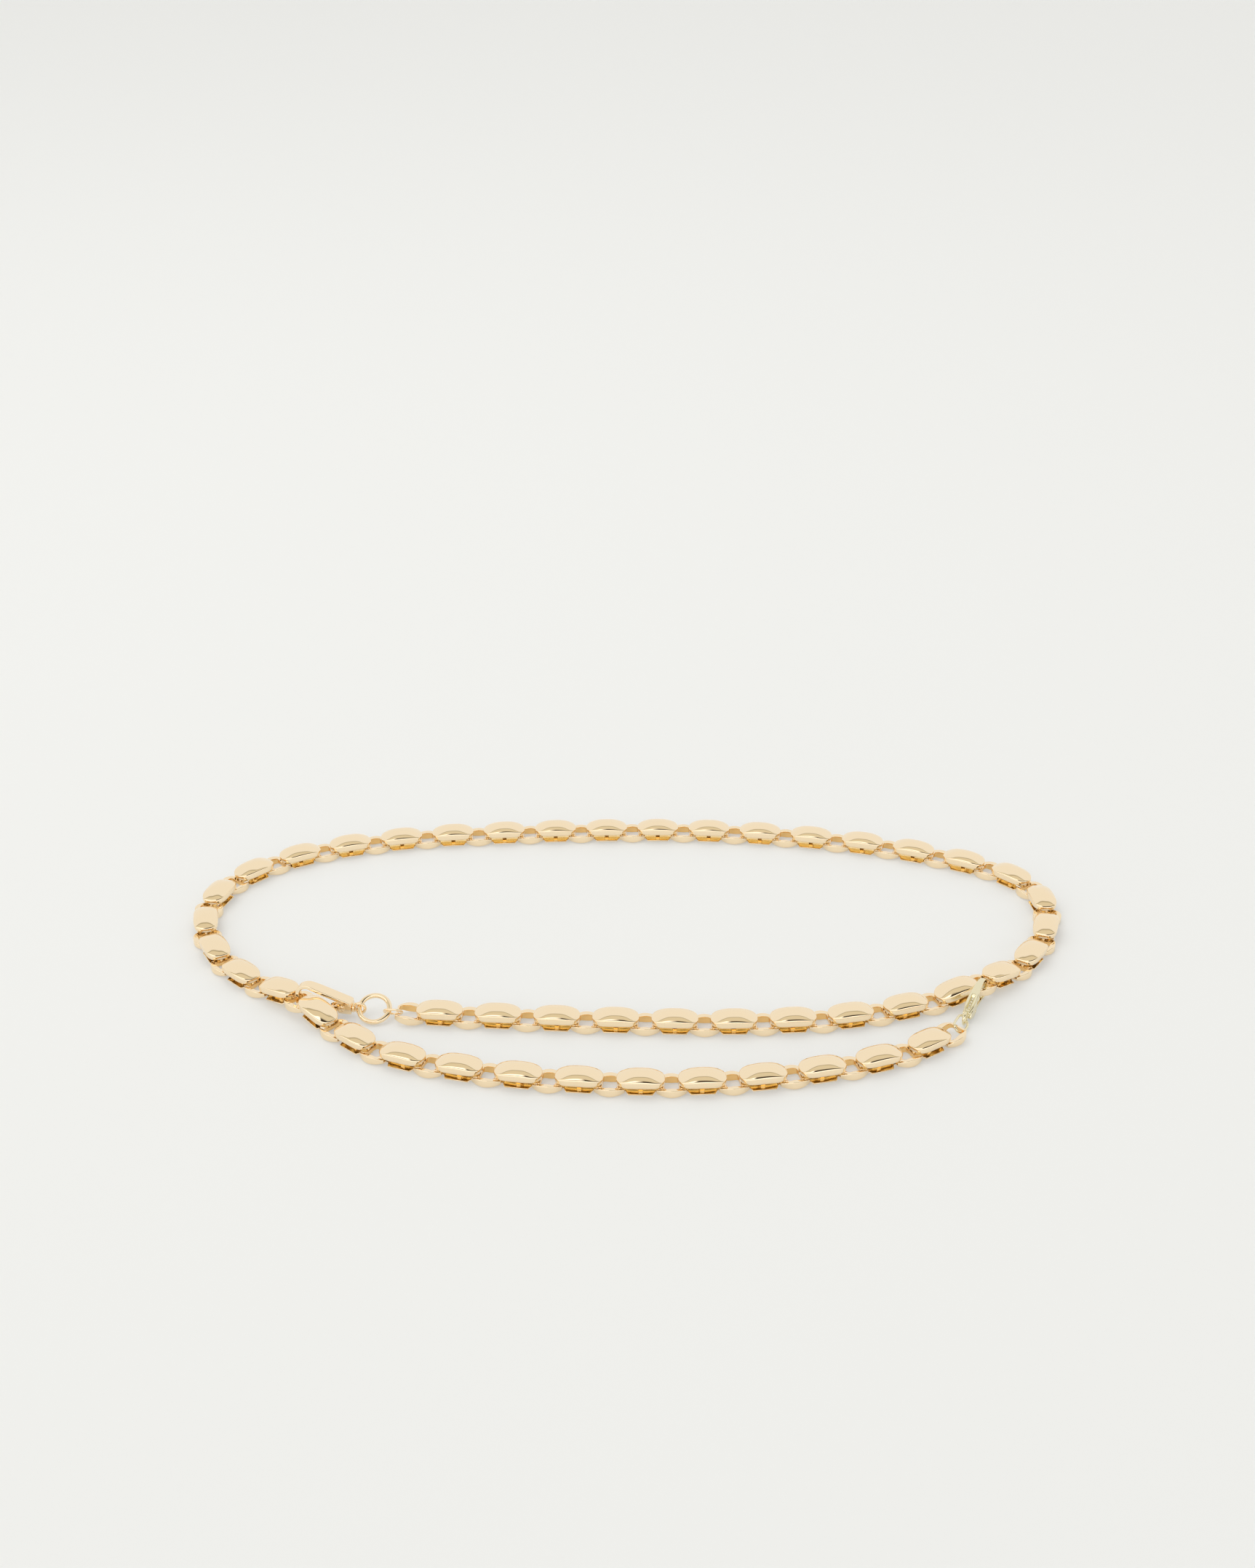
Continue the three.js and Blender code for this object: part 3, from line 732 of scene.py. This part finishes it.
def clasp_spring_mesh():
    """A coil of fine wire that shows in the slot."""
    start = np.array([3.4, 0, 4.5])
    end = np.array([8.0, 0, 6.4])
    coils = 4
    radius = 0.4
    wire = 0.17
    steps = coils * 20
    along = (end - start) / np.linalg.norm(end - start)
    up = np.array([-along[2], 0, along[0]])
    rings = []
    for i in range(steps + 1):
        angle = 2 * math.pi * coils * i / steps
        out = np.array([0, math.cos(angle), 0]) + up * math.sin(angle)
        centre = start + (end - start) * i / steps + out * radius
        rings.append([centre + wire * (math.cos(t) * out + math.sin(t) * along) for t in turns(10)])
    return finished("lobster_spring", *skin(rings, first=middle_of(rings[0]), last=middle_of(rings[-1])))


# ---- materials ----

CLOUD_SCALE = 420
SWELL_SCALE = 170
HAIR_SCALE = (350, 3500, 3500)
CLOUD_RANGE = (0.3, 0.7)
SWELL_DEPTH = 0.0004
HAIR_DEPTH = 0.00002
HAIR_STRENGTH = 0.03


def noise(nodes, links, where, scale, detail):
    texture = nodes.new("ShaderNodeTexNoise")
    texture.inputs["Scale"].default_value = scale
    texture.inputs["Detail"].default_value = detail
    links.new(where, texture.inputs["Vector"])
    return texture


def noise_by_object(nodes, links, where, scale, detail):
    """Noise that differs from object to object."""
    texture = noise(nodes, links, where, scale, detail)
    texture.noise_dimensions = "4D"
    each = nodes.new("ShaderNodeObjectInfo")
    links.new(each.outputs["Random"], texture.inputs["W"])
    return texture.outputs["Fac"]


def bump(nodes, links, height, strength, distance):
    relief = nodes.new("ShaderNodeBump")
    relief.inputs["Strength"].default_value = strength
    relief.inputs["Distance"].default_value = distance
    links.new(height, relief.inputs["Height"])
    return relief


def metal(name, colour, roughness, spread, wave):
    """Polished plating: faint cloudiness in the polish, hairlines and a slight waviness of the surface."""
    material = bpy.data.materials.new(name)
    material.use_nodes = True
    nodes, links = material.node_tree.nodes, material.node_tree.links
    shader = nodes["Principled BSDF"]
    shader.inputs["Base Color"].default_value = (*colour, 1)
    shader.inputs["Metallic"].default_value = 1
    where = nodes.new("ShaderNodeTexCoord").outputs["Object"]

    polish = nodes.new("ShaderNodeMapRange")
    polish.inputs["From Min"].default_value, polish.inputs["From Max"].default_value = CLOUD_RANGE
    polish.inputs["To Min"].default_value = roughness - spread
    polish.inputs["To Max"].default_value = roughness + spread
    cloud = noise_by_object(nodes, links, where, CLOUD_SCALE, detail=4)
    links.new(cloud, polish.inputs["Value"])
    links.new(polish.outputs["Result"], shader.inputs["Roughness"])

    stretch = nodes.new("ShaderNodeMapping")
    stretch.inputs["Scale"].default_value = HAIR_SCALE
    links.new(where, stretch.inputs["Vector"])
    hairs = noise(nodes, links, stretch.outputs["Vector"], scale=1, detail=3)
    swell = noise_by_object(nodes, links, where, SWELL_SCALE, detail=1)
    wavy = bump(nodes, links, swell, wave, SWELL_DEPTH)
    fine = bump(nodes, links, hairs.outputs["Fac"], HAIR_STRENGTH, HAIR_DEPTH)
    links.new(wavy.outputs["Normal"], fine.inputs["Normal"])
    links.new(fine.outputs["Normal"], shader.inputs["Normal"])
    return material


GOLD = metal("polished_gold", (0.99, 0.81, 0.56), roughness=0.035, spread=0.015, wave=0.02)
# A more orange copy of the gold for the connectors' hole walls: painted reflection of light bouncing between
# the gold bars.
PAINTED_REFLECTION_GOLD = metal("painted_reflection_gold", (0.97, 0.65, 0.28), roughness=0.08, spread=0.03, wave=0.02)
# A darker, deeper copy of the gold for the dome's underside and the flat plate: painted shade, with the
# deeper tint of light bouncing between gold faces.
PAINTED_SHADE_GOLD = metal("painted_shade_gold", (0.97, 0.74, 0.36), roughness=0.13, spread=0.03, wave=0.02)
PALE_GOLD = metal("pale_green_gold", (0.88, 0.8, 0.56), roughness=0.07, spread=0.03, wave=0.03)
STEEL = metal("spring_steel", (0.78, 0.74, 0.66), roughness=0.22, spread=0.05, wave=0.02)


# ---- placing ----

JOINTS = {j["name"]: j for j in frame["joints"]}
DOME_ABOVE_PIVOT = 1.75
DOME_PAST_PIVOT = 0.9


def joint_point(name):
    """Where a joint is, in millimetres."""
    return Vector(JOINTS[name]["pos_m"]) / MM


def frame_along(start, end):
    """A frame at start with X toward end and Z as near upright as that allows, in millimetres."""
    along = (end - start).normalized()
    across = Vector((0, 0, 1)).cross(along).normalized()
    up = along.cross(across)
    matrix = Matrix((along, across, up)).transposed().to_4x4()
    matrix.translation = start
    return matrix


def level_frame(start, toward):
    """A level frame at start with X toward the other point."""
    return frame_along(start, Vector((toward.x, toward.y, start.z)))


def put(name, mesh, matrix, body, slot, nodes, *materials):
    """An object from a mesh, in a frame given in millimetres, riding on its CAD body."""
    if not mesh.materials:
        for material in materials:
            mesh.materials.append(material)
    piece = bpy.data.objects.new(name, mesh)
    bpy.context.scene.collection.objects.link(piece)
    world = matrix.copy()
    world.translation = matrix.translation * MM
    piece.matrix_world = world
    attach(piece, body)
    if nodes:
        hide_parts(*nodes)


def link_name(k):
    return f"link_{k:02d}"


def incoming(k):
    """The upright that link k turns on."""
    return joint_point("end_connector_turn" if k == 1 else f"turn_{k - 1:02d}")


def lift(index):
    """Height of a pivot above its usual one. Link k runs from pivot 2k - 1 to pivot 2k."""
    held = [2 * k for k in HELD_LINKS]
    if index in held or index - 1 in held:
        return HELD_LIFT
    if index + 1 in held or index - 2 in held:
        return NEXT_LIFT
    return END_LIFT if index in (0, 2 * LINK_COUNT + 1) else 0.0


def outgoing(k):
    """The far upright of link k, in the direction of its dome's middle."""
    start = incoming(k)
    slope = (lift(2 * k) - lift(2 * k - 1)) / OVAL_PIVOTS
    points = {tuple(round(c / MM, 2) for c in v.co) for v in frame["nodes"][link_name(k)].data.vertices}
    dome = []
    for x, y, z in points:
        reach = math.hypot(x - start.x, y - start.y)
        height = z - start.z - slope * reach
        if height > DOME_ABOVE_PIVOT and reach < OVAL_PIVOTS + DOME_PAST_PIVOT:
            dome.append((x, y))
    middle = np.mean(dome, axis=0)
    toward = Vector((middle[0] - start.x, middle[1] - start.y, 0)).normalized()
    rise = slope * OVAL_PIVOTS
    return start + toward * math.sqrt(OVAL_PIVOTS**2 - rise**2) + Vector((0, 0, rise))


def outer_bar(k, end):
    """Where the next link's upright stands in the connector after link k. The last connector has none,
    and lies toward the jump ring."""
    if k < LINK_COUNT:
        return incoming(k + 1)
    bar = joint_point("jump_ring_b_turn")
    flat = Vector((bar.x - end.x, bar.y - end.y, 0)).normalized()
    return end + flat * math.sqrt(RING_PIVOTS**2 - END_LIFT**2) + Vector((0, 0, END_LIFT))


def place_connector(number, mesh, start, end, body, nodes):
    matrix = frame_along(start, end)
    matrix.translation = (start + end) / 2
    # The connector's second material is the orange gold with painted reflection for its hole walls.
    put(f"connector_{number:02d}", mesh, matrix, body, "gold", nodes, GOLD, PAINTED_REFLECTION_GOLD)


def build_chain():
    """Every oval link with the connector after it, and the first connector at the ring end."""
    oval = oval_mesh()
    connector = connector_mesh("connector", -RING_HOLE_X, RING_HOLE_X)
    head = connector_mesh("connector_head", -RING_FREE_HOLE_X, RING_HOLE_X)
    tail = connector_mesh("connector_tail", -RING_HOLE_X, RING_FREE_HOLE_X)
    for k in range(1, LINK_COUNT + 1):
        start = incoming(k)
        end = outgoing(k)
        body = link_name(k)
        # The oval's second material is the darker gold with painted shade for its hollow and flat plate.
        put(f"oval_{k:02d}", oval, frame_along(start, end), body, "gold", [body], GOLD, PAINTED_SHADE_GOLD)
        place_connector(k, connector if k < LINK_COUNT else tail, end, outer_bar(k, end), body, [])
    start = incoming(1)
    bar = joint_point("jump_ring_a_turn")
    outer = start + (bar - start).normalized() * RING_PIVOTS
    place_connector(0, head, outer, start, "end_connector", ["end_connector"])


def build_rings():
    """The jump ring on the first connector, and the round ring."""
    bar = joint_point("jump_ring_a_turn")
    at_ring = joint_point("big_ring_turn")
    out = level_frame(Vector((bar.x, bar.y, 0)), at_ring)
    jump = jump_ring_mesh("jump_ring_a", HEAD_JUMP_RADIUS, HEAD_JUMP_STRETCH, HEAD_JUMP_LEAN)
    jump_at = out @ Matrix.Translation(HEAD_JUMP_PLACE)
    put("jump_ring_a_wire", jump, jump_at, "jump_ring_a", "gold", ["jump_ring_a"], GOLD)
    reach = (Vector((at_ring.x, at_ring.y, 0)) - Vector((bar.x, bar.y, 0))).length
    ring_at = out @ Matrix.Translation((reach + BIG_RING_REACH, 0, at_ring.z))
    put("round_ring", round_ring_mesh(), ring_at, "big_ring", "gold", ["big_ring"], GOLD)


def build_hook():
    """The swivel bow and the snap hook, in line with the swivel's axis."""
    eye = joint_point("swivel_bow_turn")
    bow = level_frame(eye, eye + Vector(JOINTS["hook_swivel"]["axis"]))
    put("swivel_bow_eye", swivel_bow_mesh(), bow, "swivel_bow", "gold", ["swivel_bow"], GOLD)
    hook = bow.copy()
    hook.translation.z = 0
    put("snap_hook_body", hook_body_mesh(), hook, "hook", "gold", ["hook_body"], GOLD)
    put("snap_hook_gate", gate_mesh(), hook, "hook_gate", "gold", ["hook_gate"], GOLD)
    put("snap_hook_rivet", rivet_mesh(), hook, "hook", "gold", ["gate_rivet"], GOLD)
    put("snap_hook_spring", gate_spring_mesh(), hook, "hook", "spring_steel", ["gate_spring"], STEEL)


def build_tail_loop():
    """The long jump ring between the last connector and the clasp's eye."""
    bar = joint_point("jump_ring_b_turn")
    eye = joint_point("lobster_turn")
    out = level_frame(Vector((bar.x, bar.y, 0)), eye)
    reach = math.hypot(eye.x - bar.x, eye.y - bar.y)
    stretch = (reach + TAIL_JUMP_INSIDE) / 2 - TAIL_JUMP_RADIUS
    loop = jump_ring_mesh("jump_ring_b", TAIL_JUMP_RADIUS, stretch, TAIL_JUMP_LEAN)
    loop_at = out @ Matrix.Translation(((reach - TAIL_JUMP_INSIDE) / 2, 0, CLASP_EYE_Z + 0.1))
    put("jump_ring_b_wire", loop, loop_at, "jump_ring_b", "pale_gold", ["jump_ring_b"], PALE_GOLD)


def build_clasp():
    """The lobster clasp, upright and square to its lever's axis."""
    eye = joint_point("lobster_turn")
    across = -Vector(JOINTS["lever_press"]["axis"])
    base = Vector((eye.x, eye.y, 0))
    clasp = level_frame(base, base + across.cross(Vector((0, 0, 1))))
    put("clasp_body", clasp_body_mesh(), clasp, "lobster", "pale_gold", ["lobster_body"], PALE_GOLD)
    put("clasp_lever", clasp_lever_mesh(), clasp, "lobster_lever", "pale_gold", ["lobster_lever"], PALE_GOLD)
    put("clasp_pin", clasp_pin_mesh(), clasp, "lobster", "pale_gold", ["lobster_pin"], PALE_GOLD)
    put("clasp_spring", clasp_spring_mesh(), clasp, "lobster", "spring_steel", ["lobster_spring"], STEEL)


build_chain()
build_rings()
build_hook()
build_tail_loop()
build_clasp()


# ---- floor, light and camera ----

FLOOR_HALF_SIDE = 30.0
FLOOR_GAP = 0.00005
FLOOR_COLOUR = (0.56, 0.565, 0.555, 1)
FLOOR_GLOW = (1, 1, 0.985, 1)
FLOOR_GLOW_STRENGTH = 0.3
CAMERA_PLACE = (0.0002, -0.6619, 0.4177)
CAMERA_DIP = 27.86
LIGHT_PLACE = (-0.5, 0.3, 1.6)
LIGHT_SIDE = 1.4
LIGHT_POWER = 6.5


def build_floor():
    mesh = bpy.data.meshes.new("floor")
    corners = [(-1, -1), (1, -1), (1, 1), (-1, 1)]
    verts = [(x * FLOOR_HALF_SIDE, y * FLOOR_HALF_SIDE, 0) for x, y in corners]
    mesh.from_pydata(verts, [], [(0, 1, 2, 3)])
    floor = bpy.data.objects.new("floor", mesh)
    bpy.context.scene.collection.objects.link(floor)
    floor.location.z = cad_box[0].z - FLOOR_GAP
    material = bpy.data.materials.new("pale_floor")
    material.use_nodes = True
    shader = material.node_tree.nodes["Principled BSDF"]
    shader.inputs["Base Color"].default_value = FLOOR_COLOUR
    shader.inputs["Emission Color"].default_value = FLOOR_GLOW
    shader.inputs["Emission Strength"].default_value = FLOOR_GLOW_STRENGTH
    shader.inputs["Roughness"].default_value = 0.65
    shader.inputs["Specular IOR Level"].default_value = 0.2
    mesh.materials.append(material)


# What the metal sees on its left and right, by angle: 0 is the horizon behind the chain, 90 overhead and
# 180 the horizon in front of it.
WHITE = (0.9, 0.9, 0.89)
CEILING = (0.74, 0.7, 0.58)
SEAM = (0.36, 0.32, 0.22)
SHADE = (0.05, 0.04, 0.03)
PANEL = (1.6, 1.6, 1.6)
BACK_AND_TOP = ((0, WHITE), (80, WHITE), (84, SEAM), (86.5, CEILING), (103, CEILING))
FRONT = ((139, PANEL), (180, WHITE))
LEFT_ROOM = (*BACK_AND_TOP, (106, PANEL), (122, PANEL), (126, SHADE), (134, SHADE), *FRONT)
RIGHT_ROOM = (*BACK_AND_TOP, (110, SHADE), (133, SHADE), *FRONT)
SIDE_BLEND = (-0.12, 0.02)


def room_ramp(nodes, links, share, stops):
    """A colour ramp over the half turn from the back horizon to the front one. A new ramp already has
    two stops."""
    ramp = nodes.new("ShaderNodeValToRGB")
    elements = ramp.color_ramp.elements
    for i, (degrees, colour) in enumerate(stops):
        element = elements[i] if i < 2 else elements.new(degrees / 180)
        element.position = degrees / 180
        element.color = (*colour, 1)
    links.new(share, ramp.inputs["Fac"])
    return ramp.outputs["Color"]


def build_world():
    """A pale room that changes from the back over the top to the front, with more light on its left."""
    world = bpy.data.worlds.new("room")
    bpy.context.scene.world = world
    world.use_nodes = True
    nodes, links = world.node_tree.nodes, world.node_tree.links
    direction = nodes.new("ShaderNodeTexCoord")
    split = nodes.new("ShaderNodeSeparateXYZ")
    links.new(direction.outputs["Generated"], split.inputs["Vector"])
    angle = nodes.new("ShaderNodeMath")
    angle.operation = "ARCTAN2"
    links.new(split.outputs["Z"], angle.inputs[0])
    links.new(split.outputs["Y"], angle.inputs[1])
    share = nodes.new("ShaderNodeMath")
    share.operation = "DIVIDE"
    share.inputs[1].default_value = math.pi
    links.new(angle.outputs["Value"], share.inputs[0])
    side = nodes.new("ShaderNodeMapRange")
    side.inputs["From Min"].default_value, side.inputs["From Max"].default_value = SIDE_BLEND
    links.new(split.outputs["X"], side.inputs["Value"])
    mix = nodes.new("ShaderNodeMix")
    mix.data_type = "RGBA"
    links.new(side.outputs["Result"], mix.inputs["Factor"])
    links.new(room_ramp(nodes, links, share.outputs["Value"], LEFT_ROOM), mix.inputs["A"])
    links.new(room_ramp(nodes, links, share.outputs["Value"], RIGHT_ROOM), mix.inputs["B"])
    links.new(mix.outputs["Result"], nodes["Background"].inputs["Color"])


def build_light():
    """One large soft light, high up on the left, aimed at the origin. The metal doesn't mirror it."""
    data = bpy.data.lights.new("soft_overhead", "AREA")
    data.shape = "RECTANGLE"
    data.size = LIGHT_SIDE
    data.size_y = LIGHT_SIDE
    data.energy = LIGHT_POWER
    light = bpy.data.objects.new("soft_overhead", data)
    bpy.context.scene.collection.objects.link(light)
    light.location = LIGHT_PLACE
    light.rotation_euler = (-Vector(LIGHT_PLACE)).to_track_quat("-Z", "Y").to_euler()
    light.visible_glossy = False


def build_camera():
    data = bpy.data.cameras.new("camera")
    data.lens = 50
    data.sensor_width = 36
    data.clip_start = 0.01
    camera = bpy.data.objects.new("camera", data)
    bpy.context.scene.collection.objects.link(camera)
    camera.location = CAMERA_PLACE
    camera.rotation_euler = (math.radians(90 - CAMERA_DIP), 0, 0)
    bpy.context.scene.camera = camera


build_floor()
build_world()
build_light()
build_camera()
bpy.context.scene.view_settings.view_transform = "Standard"
